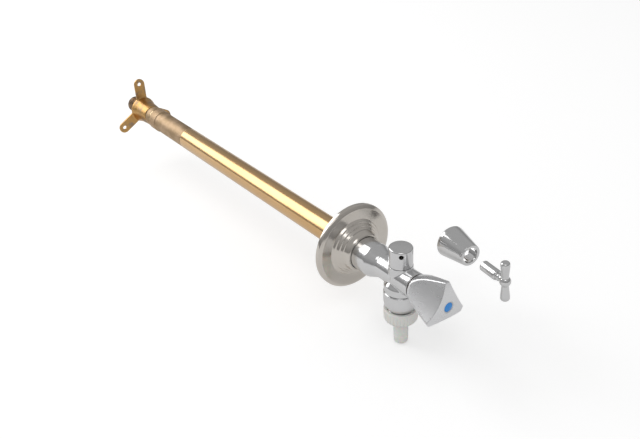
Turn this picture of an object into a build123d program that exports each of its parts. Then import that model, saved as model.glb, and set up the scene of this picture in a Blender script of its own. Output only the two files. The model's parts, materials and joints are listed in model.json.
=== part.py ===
"""Frost free sillcock: a wall tap whose valve sits at the warm end of a long brass tube.

Millimetres. The origin is the centre of the wall plate's mounting face. The tap axis runs along Y: the inlet is
at +Y, the handle at -Y. The spout hangs down along -Z from the point where its axis crosses the tap axis.
"""

import math
import os

from build123d import *

os.makedirs("parts", exist_ok=True)

# Fits
running_fit = 0.05  # radial gap of a shaft, thread or ring that turns or slides in its hole
seated_fit = 0.02  # radial gap of a piece that is fixed in its hole
free_gap = 0.3  # gap between faces that come together but do not rub

# Reach of the tap, from the wall plate to the spout
reach = 528.0
sleeve_front = 128.0  # distance from the wall plate to the joint of sleeve and tube

# Wall plate
plate_thickness = 2.6
lug_count = 3
bolt_circle_radius = 35.75
bolt_hole_radius = 2.6
lug_width = 14.6
lug_root_fillet = 1.5
plate_hub_radius = 12.9
plate_foot_radius = 16.8
plate_hub_length = 30.0
plate_bore_radius = 8.0
plate_thread_radius = 10.4
plate_thread_depth = 16.0

# Inlet nozzle
nozzle_radius = 10.48
nozzle_collar_radius = 12.2
nozzle_collar_length = 3.0
nozzle_length = 22.0
nozzle_bore_radius = 7.5

# Rear sleeve and the valve seat in it
sleeve_radius = 13.0
sleeve_collar_radius = 13.9
sleeve_collar_length = 14.0
sleeve_collar_setback = 12.5
sleeve_groove_width = 1.6
sleeve_groove_depth = 0.9
gasket_thickness = 1.5
gasket_radius = 12.0
sleeve_spigot_length = 14.0
valve_chamber_radius = 9.6
seat_bore_radius = 6.0
seat_length = 7.0
seat_lip_height = 1.5
seat_lip_width = 1.2

# Outer tube
tube_radius = 13.15
tube_wall = 1.2
tube_overlap = 16.0  # how far the tube's ends reach over the sleeve and into the barrel

# Front body: barrel, neck, front branch and spout stem, all measured from the spout's axis
barrel_radius = 16.9
barrel_back = 68.0
barrel_front = 34.7
neck_back = 25.3
neck_shoulder_radius = 12.95
neck_radius = 12.1
branch_radius = 12.6
branch_length = 20.6
body_bore_radius = 8.8
stem_radius = 11.6
cap_seat_height = 13.9
bulge_radius = 15.8
bulge_bottom = 14.6
spout_bore_radius = 8.5
socket_radius = 11.5
socket_depth = 4.6

# Bonnet and spindle
bonnet_thread_radius = 9.2
bonnet_back = 8.0
bonnet_front = 31.6
bonnet_hex = 17.6
bonnet_shoulder_radius = 10.3
coupling_hex = 11.0
coupling_guide_front = 16.9
spindle_radius = 4.5
spindle_collar_radius = 6.2
spindle_collar_length = 1.6
slip_washer_thickness = 0.6
spindle_thread_radius = 3.9
spindle_thread_back = 6.0
spindle_square = 6.4
spindle_front = 44.0
stem_seal_section = 0.8
clip_thickness = 0.8
clip_radius = 6.4

# Valve rod
rod_radius = 4.0
coupling_front = 11.2
coupling_back = 9.0
rod_seat_depth = 5.0
guide_length = 8.0
guide_arm_width = 3.0
valve_head_radius = 8.4
valve_head_length = 9.0
valve_washer_radius = 7.8
valve_washer_thickness = 3.0
washer_nut_hex = 7.0
washer_nut_thickness = 3.0

# Rosette
rosette_radius = 43.88
rosette_back = 72.4
rosette_rim_front = 68.6
rosette_face = 66.6
rosette_hub_front = 52.0
rosette_bore_radius = 17.3
rosette_wall = 1.4

# Air inlet
cap_radius = 11.27
cap_top = 32.5
cap_roof = 2.2
cap_neck_radius = 9.4
cap_neck_height = 5.0
cap_chamber_radius = 8.4
air_hole_radius = 2.0
air_hole_height = 27.8
air_hole_turn = 36.0  # degrees to the left of the front
cage_radius = 8.0
cage_thickness = 2.4
cage_bottom = 11.0
float_stem_radius = 2.0
float_disc_radius = 6.3
float_disc_thickness = 1.8
float_travel = 2.0
air_seat_thickness = 2.2
air_seat_bore_radius = 4.0

# Outlet housing, hose union and check valve
housing_radius = 16.35
housing_straight_bottom = 27.2
housing_bottom = 32.8
housing_foot_radius = 13.8
nipple_radius = 13.15
nipple_bottom = 44.6
check_bore_radius = 10.0
outlet_lip_radius = 8.2
nut_radius = 16.25
nut_top = 34.5
nut_side_bottom = 45.6
nut_bottom = 51.7
nut_flutes = 30
hose_washer_thickness = 2.0
tail_flange_thickness = 2.0
tail_radius = 7.1
tail_barb_radius = 7.3
tail_bottom = 73.5
tail_bore_radius = 4.5
check_top = 16.0
check_length = 18.0
check_wall = 1.2
check_port_radius = 5.5
poppet_radius = 7.0
poppet_thickness = 1.6
poppet_stem_radius = 1.5
poppet_seal_thickness = 1.2
spring_radius = 4.3
spring_wire_radius = 0.4
spring_turns = 5

# Handle
handle_back = 21.4
handle_top = 62.4
handle_dome_radius = 80.0
handle_corner_radius = 24.4
handle_flank_shape = ((0.10, 0.16), (0.29, 0.40), (0.47, 0.575), (0.69, 0.75), (0.85, 0.885))
handle_rest_turn = 2.5
handle_flat_distance = 12.5
handle_scoop_radius = 110.0
handle_hub_radius = 12.0
handle_recess_radius = 10.9
handle_recess_front = 33.6
insert_radius = 7.0
insert_length = 13.0
index_cap_radius = 4.9
index_cap_recess_radius = 5.6
index_cap_depth = 4.0
screw_head_radius = 3.8
screw_head_length = 2.6
screw_radius = 2.0
screw_length = 9.0

# The loose set: cone sleeve and key on one axis beside the handle, at the height of the tap axis
set_x = 76.7
set_back = 14.5
set_yaw = 7.7
cone_length = 32.0
cone_large_radius = 16.15
cone_small_radius = 10.95
cone_bore_radius = 7.9
cone_skirt_radius = 13.6
cone_skirt_depth = 14.0
key_gap = 19.4
key_barrel_radius = 5.3
key_barrel_length = 20.0
key_neck_radius = 3.1
key_bead_radius = 4.1
key_ball_radius = 5.4
key_ball_place = 30.5
key_bar_half = 21.4
key_bar_waist_radius = 3.4
key_bar_end_radius = 4.45
key_bar_roll = 4.1
key_socket_square = 6.6
key_socket_depth = 12.0

CROSSING = Pos(0, -reach, 0)


def outline(corners):
    """Closed face through (radius, place) corners; a third number rounds that corner."""
    points = [(c[0], c[1]) for c in corners]
    radii = [c[2] if len(c) > 2 else 0 for c in corners]
    if not any(radii):
        return make_face(Polyline(*points, close=True))
    return make_face(FilletPolyline(*points, radius=radii, close=True))


def turned_y(*corners):
    """Solid of revolution about the tap axis from (radius, y) corners."""
    return revolve(outline(corners), Axis.Y)


def turned_z(*corners):
    """Solid of revolution about the spout axis from (radius, z) corners."""
    return revolve(Plane.XZ * outline(corners), Axis.Z)


def tube_y(outer, inner, y0, y1):
    return turned_y((inner, y0), (outer, y0), (outer, y1), (inner, y1))


def tube_z(outer, inner, z0, z1):
    return turned_z((inner, z0), (outer, z0), (outer, z1), (inner, z1))


def rod_y(radius, y0, y1, x=0.0, z=0.0):
    """Round bar along Y between two stations."""
    return Pos(x, (y0 + y1) / 2, z) * Rot(90, 0, 0) * Cylinder(radius, abs(y1 - y0))


def rod_z(radius, z0, z1, x=0.0, y=0.0):
    """Round bar along Z between two heights."""
    return Pos(x, y, (z0 + z1) / 2) * Cylinder(radius, abs(z1 - z0))


def hexagon_y(across_flats, y0, y1):
    """Hexagonal bar along Y."""
    flat = RegularPolygon(across_flats / math.sqrt(3), 6)
    return Pos(0, max(y0, y1), 0) * extrude(Plane.XZ * flat, abs(y1 - y0))


def square_y(side, y0, y1):
    """Square bar along Y."""
    return Pos(0, (y0 + y1) / 2, 0) * Box(side, abs(y1 - y0), side)


def ring_y(centre_radius, section_radius, y):
    """O-ring around the tap axis."""
    return Pos(0, y, 0) * Rot(90, 0, 0) * Torus(centre_radius, section_radius)


def ring_z(centre_radius, section_radius, z):
    """O-ring around the spout axis."""
    return Pos(0, 0, z) * Torus(centre_radius, section_radius)


def save(name, shape):
    """Write one node's solids to its own file."""
    solids = shape.solids()
    result = solids[0] if len(solids) == 1 else Compound(children=list(solids))
    export_step(result, f"parts/{name}.step")


# Wall plate: a cast hub that flares into a foot with lugs, bored through and threaded for sleeve and nozzle
def wall_plate():
    hub = turned_y(
        (0, plate_thickness),
        (plate_foot_radius, plate_thickness),
        (plate_foot_radius, 0),
        (plate_hub_radius + 1.6, -9.0, 6.0),
        (plate_hub_radius, -plate_hub_length + 1.0),
        (plate_hub_radius - 0.8, -plate_hub_length),
        (0, -plate_hub_length),
    )
    lug = Plane.XZ * (
        Pos(0, bolt_circle_radius) * Circle(lug_width / 2)
        + Pos(0, bolt_circle_radius / 2) * Rectangle(lug_width, bolt_circle_radius)
    )
    lug = Pos(0, plate_thickness, 0) * extrude(lug, plate_thickness)
    plate = hub
    for k in range(lug_count):
        plate += Rot(0, k * 360 / lug_count, 0) * lug
    creases = plate.edges().filter_by(
        lambda e: e.geom_type == GeomType.CIRCLE
        and abs(e.center(CenterOf.BOUNDING_BOX).Y) < 0.01
        and abs(e.radius - plate_foot_radius) < 0.01
        and e.length < 1.5 * lug_width
    )
    plate = fillet(creases, lug_root_fillet)
    for k in range(lug_count):
        hole = rod_y(bolt_hole_radius, -1, plate_thickness + 1, z=bolt_circle_radius)
        plate -= Rot(0, k * 360 / lug_count, 0) * hole
    plate -= rod_y(plate_bore_radius, -plate_hub_length - 1, plate_thickness + 1)
    plate -= rod_y(plate_thread_radius, -plate_hub_length - 1, -plate_hub_length + plate_thread_depth)
    plate -= rod_y(nozzle_spigot_radius + seated_fit, -nozzle_spigot_length - 0.2, plate_thickness + 1)
    return plate


nozzle_spigot_radius = 9.6
nozzle_spigot_length = 7.0
nozzle_end = plate_thickness + nozzle_collar_length + nozzle_length


# Inlet nozzle: a threaded nipple with a collar, screwed into the back of the wall plate
def inlet_nozzle():
    return turned_y(
        (nozzle_bore_radius, -nozzle_spigot_length),
        (nozzle_spigot_radius, -nozzle_spigot_length),
        (nozzle_spigot_radius, plate_thickness),
        (nozzle_collar_radius, plate_thickness, 0.5),
        (nozzle_collar_radius, plate_thickness + nozzle_collar_length, 0.5),
        (nozzle_radius, plate_thickness + nozzle_collar_length),
        (nozzle_radius, nozzle_end - 1.0),
        (nozzle_radius - 1.0, nozzle_end),
        (nozzle_bore_radius, nozzle_end),
    )


# Rear sleeve: holds the valve; a spigot with a thread at its back, a stepped spigot under the tube at its front
sleeve_back = -plate_hub_length - gasket_thickness
collar_back = sleeve_back - sleeve_collar_setback
collar_front = collar_back - sleeve_collar_length
sleeve_spigot_radius = tube_radius - tube_wall - running_fit
seat_back = sleeve_back - 2.0
seat_front = seat_back - seat_length
chamber_back = seat_front + 1.0
tube_seal_section = 0.8


def rear_sleeve():
    body = turned_y(
        (plate_bore_radius, sleeve_back + sleeve_spigot_length),
        (plate_thread_radius - seated_fit, sleeve_back + sleeve_spigot_length),
        (plate_thread_radius - seated_fit, sleeve_back),
        (sleeve_radius - 0.6, sleeve_back),
        (sleeve_radius, sleeve_back - 0.8),
        (sleeve_radius, collar_back + sleeve_groove_width),
        (sleeve_radius - sleeve_groove_depth, collar_back + sleeve_groove_width),
        (sleeve_radius - sleeve_groove_depth, collar_back),
        (sleeve_collar_radius, collar_back, 0.3),
        (sleeve_collar_radius, collar_front, 0.3),
        (sleeve_radius, collar_front - 0.8),
        (sleeve_radius, -sleeve_front),
        (sleeve_spigot_radius, -sleeve_front),
        (sleeve_spigot_radius, -sleeve_front - tube_overlap),
        (valve_chamber_radius, -sleeve_front - tube_overlap),
        (valve_chamber_radius, seat_front - 1.0),
        (valve_seat_radius, seat_front - 1.0),
        (valve_seat_radius, seat_back),
        (plate_bore_radius, seat_back),
    )
    groove = tube_y(
        sleeve_spigot_radius + 1,
        sleeve_spigot_radius - 2 * tube_seal_section + 0.1,
        -sleeve_front - tube_overlap / 2 - tube_seal_section - 0.1,
        -sleeve_front - tube_overlap / 2 + tube_seal_section + 0.1,
    )
    return body - groove


valve_seat_radius = 9.4


# Valve seat: a bush with a raised lip that the washer closes on
def valve_seat():
    lip_outer = seat_bore_radius + seat_lip_width
    return turned_y(
        (seat_bore_radius, seat_back - 0.02),
        (valve_seat_radius - seated_fit, seat_back - 0.02),
        (valve_seat_radius - seated_fit, seat_front - 0.98),
        (valve_seat_radius - 1.6, seat_front - 0.98),
        (valve_seat_radius - 1.6, seat_front),
        (lip_outer, seat_front),
        (lip_outer, seat_front - seat_lip_height),
        (seat_bore_radius, seat_front - seat_lip_height),
    )


lip_front = seat_front - seat_lip_height


def sleeve_gasket():
    return tube_y(gasket_radius, plate_thread_radius + seated_fit, sleeve_back + 0.01, -plate_hub_length - 0.01)


# Outer tube and the seals that sit between it, the sleeve and the front body
tube_back = -sleeve_front - 0.05
tube_front = -reach + barrel_back - tube_overlap - 4.0


def outer_tube():
    return tube_y(tube_radius, tube_radius - tube_wall, tube_front, tube_back)


def tube_seals():
    rear_y = -sleeve_front - tube_overlap / 2
    rear = ring_y(sleeve_spigot_radius - tube_seal_section + 0.05, tube_seal_section - 0.08, rear_y)
    front_y = -reach + barrel_back - 8.0
    front = ring_y(tube_radius + tube_seal_section + 0.02, tube_seal_section - 0.06, front_y)
    return Compound(children=[rear, front])


# Front body, in its own coordinates: the tap axis along Y and the spout axis along Z cross at the origin
def front_body():
    barrel = turned_y(
        (0, barrel_back),
        (barrel_radius - 0.6, barrel_back),
        (barrel_radius, barrel_back - 0.6),
        (barrel_radius, barrel_front, 1.2),
        (neck_shoulder_radius, neck_back, 0.8),
        (neck_radius, neck_back - 0.9, 0.5),
        (neck_radius, 0),
        (0, 0),
    )
    branch = turned_y(
        (0, 0.5),
        (branch_radius, 0.5),
        (branch_radius, -branch_length, 0.5),
        (0, -branch_length),
    )
    stem = rod_z(stem_radius, -4, cap_seat_height)
    bulge = turned_z(
        (0, -2.0),
        (stem_radius + 0.2, -2.0, 1.0),
        (bulge_radius, -7.0, 3.5),
        (bulge_radius, -12.4, 2.0),
        (bulge_radius - 0.45, -bulge_bottom, 0.2),
        (0, -bulge_bottom),
    )
    neck = rod_z(cap_neck_radius - running_fit, 0, cap_seat_height + cap_neck_height)
    body = barrel + branch + stem + bulge + neck
    body -= rod_y(tube_radius + seated_fit, barrel_back + 1, barrel_back - tube_overlap - 4.0)
    body -= rod_y(body_bore_radius, barrel_back, -branch_length - 1)
    body -= rod_y(bonnet_thread_radius + seated_fit, -bonnet_back + 0.5, -branch_length - 1)
    body -= rod_z(cage_radius - 1.2, 0, cap_seat_height + cap_neck_height + 1)
    body -= rod_z(cage_radius + seated_fit, cage_bottom, cap_seat_height + cap_neck_height + 1)
    body -= rod_z(spout_bore_radius, 0, -bulge_bottom - 1)
    body -= rod_z(socket_radius, -bulge_bottom + socket_depth, -bulge_bottom - 1)
    body -= tube_z(cap_seal_radius + 0.62, cap_seal_radius - 0.62, cap_seat_height - 1.15, cap_seat_height + 0.5)
    body -= tube_y(
        tube_radius + 2 * tube_seal_section,
        tube_radius - 1,
        barrel_back - 8.0 - tube_seal_section - 0.1,
        barrel_back - 8.0 + tube_seal_section + 0.1,
    )
    return body


cap_seal_radius = 10.3


# Bonnet: screwed into the front branch; a hexagonal guide behind, a round bearing in front
def bonnet():
    shape = turned_y(
        (0, -bonnet_back),
        (bonnet_thread_radius, -bonnet_back),
        (bonnet_thread_radius, -branch_length),
        (bonnet_shoulder_radius, -branch_length),
        (bonnet_shoulder_radius, -branch_length - 1.2),
        (0, -branch_length - 1.2),
    )
    shape += hexagon_y(bonnet_hex, -branch_length - 1.0, -branch_length - 6.0)
    shape += rod_y(7.6, -branch_length - 5.0, -bonnet_front)
    shape -= hexagon_y(coupling_hex + 2 * running_fit, -bonnet_back + 1, -coupling_guide_front)
    shape -= rod_y(spindle_collar_radius + free_gap, -coupling_guide_front + 0.1, -collar_seat)
    shape -= rod_y(spindle_radius + running_fit, 0, -bonnet_front - 1)
    shape -= tube_y(bonnet_thread_radius + 1, bonnet_thread_radius - 1.25, -bonnet_seal_place - 0.9, -bonnet_seal_place + 0.9)
    return shape


collar_seat = coupling_guide_front + spindle_collar_length + slip_washer_thickness + 0.5
bonnet_seal_place = 17.0


def bonnet_seal():
    return ring_y(bonnet_thread_radius - 0.62, 0.6, -bonnet_seal_place)


# Drive spindle: collar and thread inside the bonnet, two seal grooves, a square and a tapped end in the handle
seal_groove_radius = spindle_radius - 2 * stem_seal_section
seal_places = (23.2, 26.2)


def spindle():
    shape = rod_y(spindle_radius, -coupling_guide_front - 0.3, -handle_recess_front + free_gap)
    collar_back_y = -collar_seat + slip_washer_thickness + 0.05
    shape += rod_y(spindle_collar_radius, collar_back_y, collar_back_y + spindle_collar_length)
    shape += rod_y(spindle_thread_radius, -spindle_thread_back, -coupling_guide_front - 0.4)
    shape += square_y(spindle_square, -handle_recess_front + 1.0, -spindle_front)
    for place in seal_places:
        shape -= tube_y(spindle_radius + 1, seal_groove_radius, -place - 0.95, -place + 0.95)
    shape -= tube_y(spindle_radius + 1, spindle_radius - 0.8, -clip_place - clip_thickness, -clip_place)
    shape -= rod_y(screw_radius + seated_fit, -spindle_front + screw_length + 1, -spindle_front - 1)
    return shape


clip_place = bonnet_front + 0.15


def stem_seals():
    centre = seal_groove_radius + stem_seal_section
    rings = [ring_y(centre + 0.01, stem_seal_section - 0.02, -place) for place in seal_places]
    return Compound(children=rings)


def slip_washer():
    y0 = -collar_seat + 0.03
    return tube_y(spindle_collar_radius, spindle_radius + seated_fit, y0, y0 + slip_washer_thickness)


def spindle_clip():
    ring = tube_y(clip_radius, spindle_radius - 0.78, -clip_place - clip_thickness + 0.02, -clip_place - 0.02)
    return ring - Pos(0, -clip_place, clip_radius) * Box(3.0, 4, clip_radius + 2)


# Valve rod group, carried back and forth by the coupling nut on the spindle's thread
def rod_coupling():
    shape = hexagon_y(coupling_hex, -coupling_front, coupling_back)
    shape -= rod_y(spindle_thread_radius + running_fit, -coupling_front - 1, 0.5)
    shape -= rod_y(rod_radius + seated_fit, coupling_back - rod_seat_depth, coupling_back + 1)
    return shape


washer_back = lip_front - free_gap
washer_front = washer_back - valve_washer_thickness
head_front = washer_front - valve_head_length
rod_tail_radius = 2.5
rod_front_end = -reach + coupling_back - rod_seat_depth + 0.05


def valve_rod():
    main = rod_y(rod_radius, rod_front_end, washer_front - 4.0)
    tail = rod_y(rod_tail_radius, washer_front - 4.5, washer_back + washer_nut_thickness + 1.0)
    return main + tail


def rod_guides():
    """Two star-shaped guides that keep the long rod in the middle of the tube."""
    arm_reach = tube_radius - tube_wall - free_gap
    span = tube_front - tube_back
    guides = []
    for share in (1 / 3, 2 / 3):
        y = tube_back + span * share
        star = tube_y(rod_radius + 2.2, rod_radius + seated_fit, y, y + guide_length)
        for k in range(4):
            arm = Box(guide_arm_width, guide_length, arm_reach - rod_radius - 1.0)
            arm = Pos(0, y + guide_length / 2, (arm_reach + rod_radius + 1.0) / 2) * arm
            star += Rot(0, 90 * k, 0) * arm
        star &= rod_y(arm_reach, y, y + guide_length)
        guides.append(star.solids()[0])
    return Compound(children=guides)


def valve_head():
    shape = turned_y(
        (0, head_front),
        (5.2, head_front),
        (5.2, head_front + 3.0, 1.0),
        (valve_head_radius, head_front + 5.0, 0.8),
        (valve_head_radius, washer_front + 1.6),
        (valve_washer_radius + seated_fit, washer_front + 1.6),
        (valve_washer_radius + seated_fit, washer_front),
        (0, washer_front),
    )
    shape -= rod_y(rod_radius + seated_fit, head_front - 1, washer_front - 4.0 + 0.02)
    shape -= rod_y(rod_tail_radius + seated_fit, head_front, washer_back + 1)
    return shape


def valve_washer():
    return tube_y(valve_washer_radius, rod_tail_radius + seated_fit, washer_front + 0.02, washer_back)


def washer_nut():
    nut = hexagon_y(washer_nut_hex, washer_back + 0.02, washer_back + washer_nut_thickness)
    return nut - rod_y(rod_tail_radius + seated_fit, washer_back - 1, washer_back + washer_nut_thickness + 1)


# Rosette: a pressed cover with two stepped rings that slides on the barrel
def rosette():
    outside = [
        (rosette_radius, rosette_back),
        (rosette_radius, rosette_rim_front, 1.6),
        (rosette_radius - 3.6, rosette_face, 1.2),
        (29.0, rosette_face - 0.4, 2.0),
        (25.0, 61.2, 0.8),
        (22.6, 59.8, 1.0),
        (20.3, 53.6, 0.8),
        (18.9, rosette_hub_front, 0.5),
        (rosette_bore_radius, rosette_hub_front),
    ]
    inside = [
        (rosette_bore_radius, rosette_hub_front + rosette_wall),
        (18.4, rosette_hub_front + rosette_wall),
        (18.6, 60.8),
        (22.0, 62.8),
        (26.0, rosette_face + rosette_wall),
        (rosette_radius - rosette_wall, rosette_face + rosette_wall + 1.4),
        (rosette_radius - rosette_wall, rosette_back),
    ]
    return turned_y(*outside, *inside)


def rosette_ring():
    inner = barrel_radius + running_fit
    outer = 18.4 - seated_fit
    return turned_y(
        (inner, 54.0),
        (outer, 54.0),
        (outer, 57.0),
        (inner + 0.4, 57.0),
        (inner, 56.4),
    )


# Air inlet on top of the spout: cap, cage, float and seat
def air_cap():
    shape = turned_z(
        (0, cap_top),
        (cap_radius, cap_top, 0.9),
        (cap_radius, cap_seat_height + 0.1, 0.2),
        (cap_neck_radius, cap_seat_height + 0.1),
        (cap_neck_radius, cap_seat_height + cap_neck_height + 0.3),
        (cap_chamber_radius, cap_seat_height + cap_neck_height + 0.3),
        (cap_chamber_radius, cap_top - cap_roof),
        (0, cap_top - cap_roof),
    )
    bar = Rot(90, 0, 0) * Cylinder(air_hole_radius, 4 * cap_radius)
    return shape - Rot(0, 0, -air_hole_turn) * Pos(0, 0, air_hole_height) * bar


def cap_seal():
    return ring_z(cap_seal_radius, 0.58, cap_seat_height - 0.52)


float_disc_bottom = cap_seat_height + 2.0
air_seat_bottom = float_disc_bottom + float_disc_thickness + float_travel + free_gap


def air_valve_cage():
    shape = rod_z(cage_radius, cage_bottom + 0.02, cage_bottom + cage_thickness)
    shape += rod_z(float_stem_radius + 1.4, cage_bottom + 0.02, float_disc_bottom - free_gap)
    for k in range(6):
        shape -= Rot(0, 0, 60 * k) * rod_z(1.4, 0, cage_bottom + 5, x=5.6)
    return shape - rod_z(float_stem_radius + running_fit, 0, cap_top)


def air_valve_float():
    stem = rod_z(float_stem_radius, cage_bottom - 1.0, float_disc_bottom + 0.2)
    disc = turned_z(
        (0, float_disc_bottom),
        (float_disc_radius, float_disc_bottom),
        (float_disc_radius, float_disc_bottom + float_disc_thickness, 0.6),
        (0, float_disc_bottom + float_disc_thickness),
    )
    return stem + disc


def air_valve_seat():
    return tube_z(
        cap_chamber_radius - seated_fit, air_seat_bore_radius, air_seat_bottom, air_seat_bottom + air_seat_thickness
    )


# Outlet housing below the spout, with the check valve inside and a male nipple for the hose union
housing_top = bulge_bottom + 0.1
housing_spigot_top = bulge_bottom - socket_depth + 0.3
check_shelf = check_top + check_length + 0.05


def outlet_housing():
    shape = turned_z(
        (spout_bore_radius, -housing_spigot_top),
        (socket_radius - running_fit, -housing_spigot_top),
        (socket_radius - running_fit, -housing_top),
        (housing_radius, -housing_top, 1.0),
        (housing_radius, -housing_straight_bottom, 14.0),
        (housing_foot_radius, -housing_bottom, 0.6),
        (nipple_radius - 1.0, -housing_bottom),
        (nipple_radius - 1.0, -housing_bottom - 2.2),
        (nipple_radius, -housing_bottom - 3.0),
        (nipple_radius, -nipple_bottom + 0.8),
        (nipple_radius - 0.8, -nipple_bottom),
        (outlet_lip_radius, -nipple_bottom),
        (outlet_lip_radius, -check_shelf),
        (check_bore_radius, -check_shelf),
        (check_bore_radius, -check_top + 0.6),
        (spout_bore_radius, -check_top + 0.6),
    )
    groove = tube_z(socket_radius + 1, socket_radius - 1.5, -housing_seal_place - 0.85, -housing_seal_place + 0.85)
    return shape - groove


housing_seal_place = bulge_bottom - 2.2


def housing_seal():
    return ring_z(socket_radius - 0.8, 0.65, -housing_seal_place)


def check_valve_body():
    top = -check_top
    bottom = -check_top - check_length
    outer = check_bore_radius - seated_fit
    shell = turned_z(
        (check_port_radius, top),
        (outer, top),
        (outer, bottom),
        (outer - check_wall, bottom),
        (outer - check_wall, top - 1.6),
        (check_port_radius, top - 1.6),
    )
    spider = tube_z(poppet_stem_radius + 1.6, poppet_stem_radius + running_fit, bottom, bottom + 2.0)
    for k in range(3):
        arm = Pos((outer + poppet_stem_radius) / 2 + 0.5, 0, bottom + 1.0) * Box(outer - 2.6, 1.6, 2.0)
        spider += Rot(0, 0, 120 * k) * (arm - rod_z(poppet_stem_radius + running_fit, bottom - 1, bottom + 3))
    return shell + spider


poppet_seal_top = -check_top - 1.6 - free_gap
poppet_top = poppet_seal_top - poppet_seal_thickness
poppet_bottom = poppet_top - poppet_thickness
spider_top = -check_top - check_length + 2.0


def check_poppet():
    shape = rod_z(poppet_radius, poppet_top, poppet_bottom)
    shape += rod_z(poppet_stem_radius, poppet_bottom + 0.2, -check_top - check_length - 1.0)
    shape += rod_z(2.4, poppet_top - 0.2, poppet_seal_top - 0.1)
    return shape


def poppet_seal():
    return tube_z(poppet_radius, 2.4 + seated_fit, poppet_top + 0.01, poppet_seal_top)


def check_valve_spring():
    low = spider_top + spring_wire_radius + 0.05
    high = poppet_bottom - spring_wire_radius - 0.05
    path = Pos(0, 0, low) * Helix((high - low) / spring_turns, high - low, spring_radius)
    start = path @ 0
    section = Plane(origin=start, z_dir=path % 0) * Circle(spring_wire_radius)
    return sweep(section, path=path, is_frenet=True)


# Hose union: flat washer, fluted nut and hose tail
washer_top = nipple_bottom + 0.02
washer_bottom = washer_top + hose_washer_thickness
flange_top = washer_bottom + 0.02
flange_bottom = flange_top + tail_flange_thickness
nut_bore_radius = nipple_radius + 0.08


def hose_washer():
    return tube_z(nipple_radius - 0.6, outlet_lip_radius, -washer_bottom, -washer_top)


def union_nut():
    shape = turned_z(
        (nut_bore_radius, -nut_top),
        (nut_radius, -nut_top, 0.7),
        (nut_radius, -nut_side_bottom, 3.5),
        (tail_barb_radius + 3.0, -nut_bottom + 0.6, 2.0),
        (tail_barb_radius + free_gap + 0.6, -nut_bottom),
        (tail_barb_radius + free_gap, -nut_bottom),
        (tail_barb_radius + free_gap, -flange_bottom - 0.1),
        (nut_bore_radius, -flange_bottom - 0.1),
    )
    for k in range(nut_flutes):
        flute = rod_z(0.75, -nut_top - 1.6, -nut_bottom, x=nut_radius + 0.3)
        shape -= Rot(0, 0, k * 360 / nut_flutes) * flute
    return shape


def hose_tail():
    return turned_z(
        (tail_bore_radius, -flange_top),
        (nipple_radius - 0.6, -flange_top),
        (nipple_radius - 0.6, -flange_bottom),
        (tail_radius - free_gap, -flange_bottom),
        (tail_radius - free_gap, -nut_bottom - free_gap),
        (tail_radius, -nut_bottom - free_gap),
        (tail_radius, -60.4),
        (tail_barb_radius, -60.9),
        (tail_radius - 0.15, -65.4),
        (tail_barb_radius - 0.15, -65.9),
        (tail_radius - 0.4, -tail_bottom, 2.0),
        (tail_bore_radius, -tail_bottom),
    )


# Handle: a flared round blank with three shallow scooped faces and a domed front
def handle():
    dome_centre = -handle_top + handle_dome_radius
    corner_y = dome_centre - math.sqrt(handle_dome_radius**2 - handle_corner_radius**2)
    flank_length = -handle_back - corner_y
    flare = handle_corner_radius - handle_hub_radius
    flank = Spline(
        (handle_hub_radius, -handle_back),
        *[(handle_hub_radius + u * flare, -handle_back - t * flank_length) for t, u in handle_flank_shape],
        (handle_corner_radius, corner_y),
    )
    mid_angle = math.asin(handle_corner_radius / 2 / handle_dome_radius)
    mid = (handle_dome_radius * math.sin(mid_angle), dome_centre - handle_dome_radius * math.cos(mid_angle))
    dome = ThreePointArc((handle_corner_radius, corner_y), mid, (0, -handle_top))
    axis_line = Line((0, -handle_top), (0, -handle_back))
    back_line = Line((0, -handle_back), (handle_hub_radius, -handle_back))
    shape = revolve(make_face([flank, dome, axis_line, back_line]), Axis.Y)
    for k in range(3):
        cutter = rod_y(handle_scoop_radius, -10, -80, x=handle_flat_distance + handle_scoop_radius)
        shape -= Rot(0, handle_rest_turn - 30 + 120 * k, 0) * cutter
    rims = shape.edges().filter_by(lambda e: e.center().Y < -handle_back - 3)
    shape = fillet(rims, 0.6)
    socket_front = handle_recess_front + insert_length
    shape -= rod_y(handle_recess_radius, -10, -handle_recess_front)
    shape -= rod_y(insert_radius + seated_fit, -10, -socket_front - 0.02)
    shape -= rod_y(screw_head_radius + 0.3, -10, -handle_top)
    shape -= rod_y(index_cap_recess_radius, -handle_top + index_cap_depth, -handle_top - 5)
    return shape


def spline_insert():
    y0 = -handle_recess_front
    shape = rod_y(insert_radius, y0, y0 - insert_length)
    shape -= square_y(spindle_square + 2 * seated_fit, y0 + 1, -spindle_front - 0.02)
    return shape - rod_y(screw_radius + 0.2, y0, y0 - insert_length - 1)


def handle_screw():
    head_back = -handle_recess_front - insert_length - 0.02
    shape = rod_y(screw_radius, -spindle_front + screw_length, head_back - 0.5)
    shape += rod_y(screw_head_radius, head_back, head_back - screw_head_length)
    slot = Pos(0, head_back - screw_head_length, 0) * Box(2 * screw_head_radius + 1, 1.6, 1.0)
    return shape - slot


def index_cap():
    face = -handle_top + 0.5
    plug = turned_y(
        (0, face - 0.0),
        (index_cap_radius, face + 0.3, 0.3),
        (index_cap_radius, -handle_top + index_cap_depth),
        (screw_head_radius + 0.3 - seated_fit, -handle_top + index_cap_depth),
        (screw_head_radius + 0.3 - seated_fit, -handle_top + index_cap_depth + 3.0),
        (0, -handle_top + index_cap_depth + 3.0),
    )
    rim = tube_y(
        index_cap_recess_radius - seated_fit, index_cap_radius - 0.5, -handle_top + index_cap_depth - 0.01, face + 2.0
    )
    return plug + rim


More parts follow.
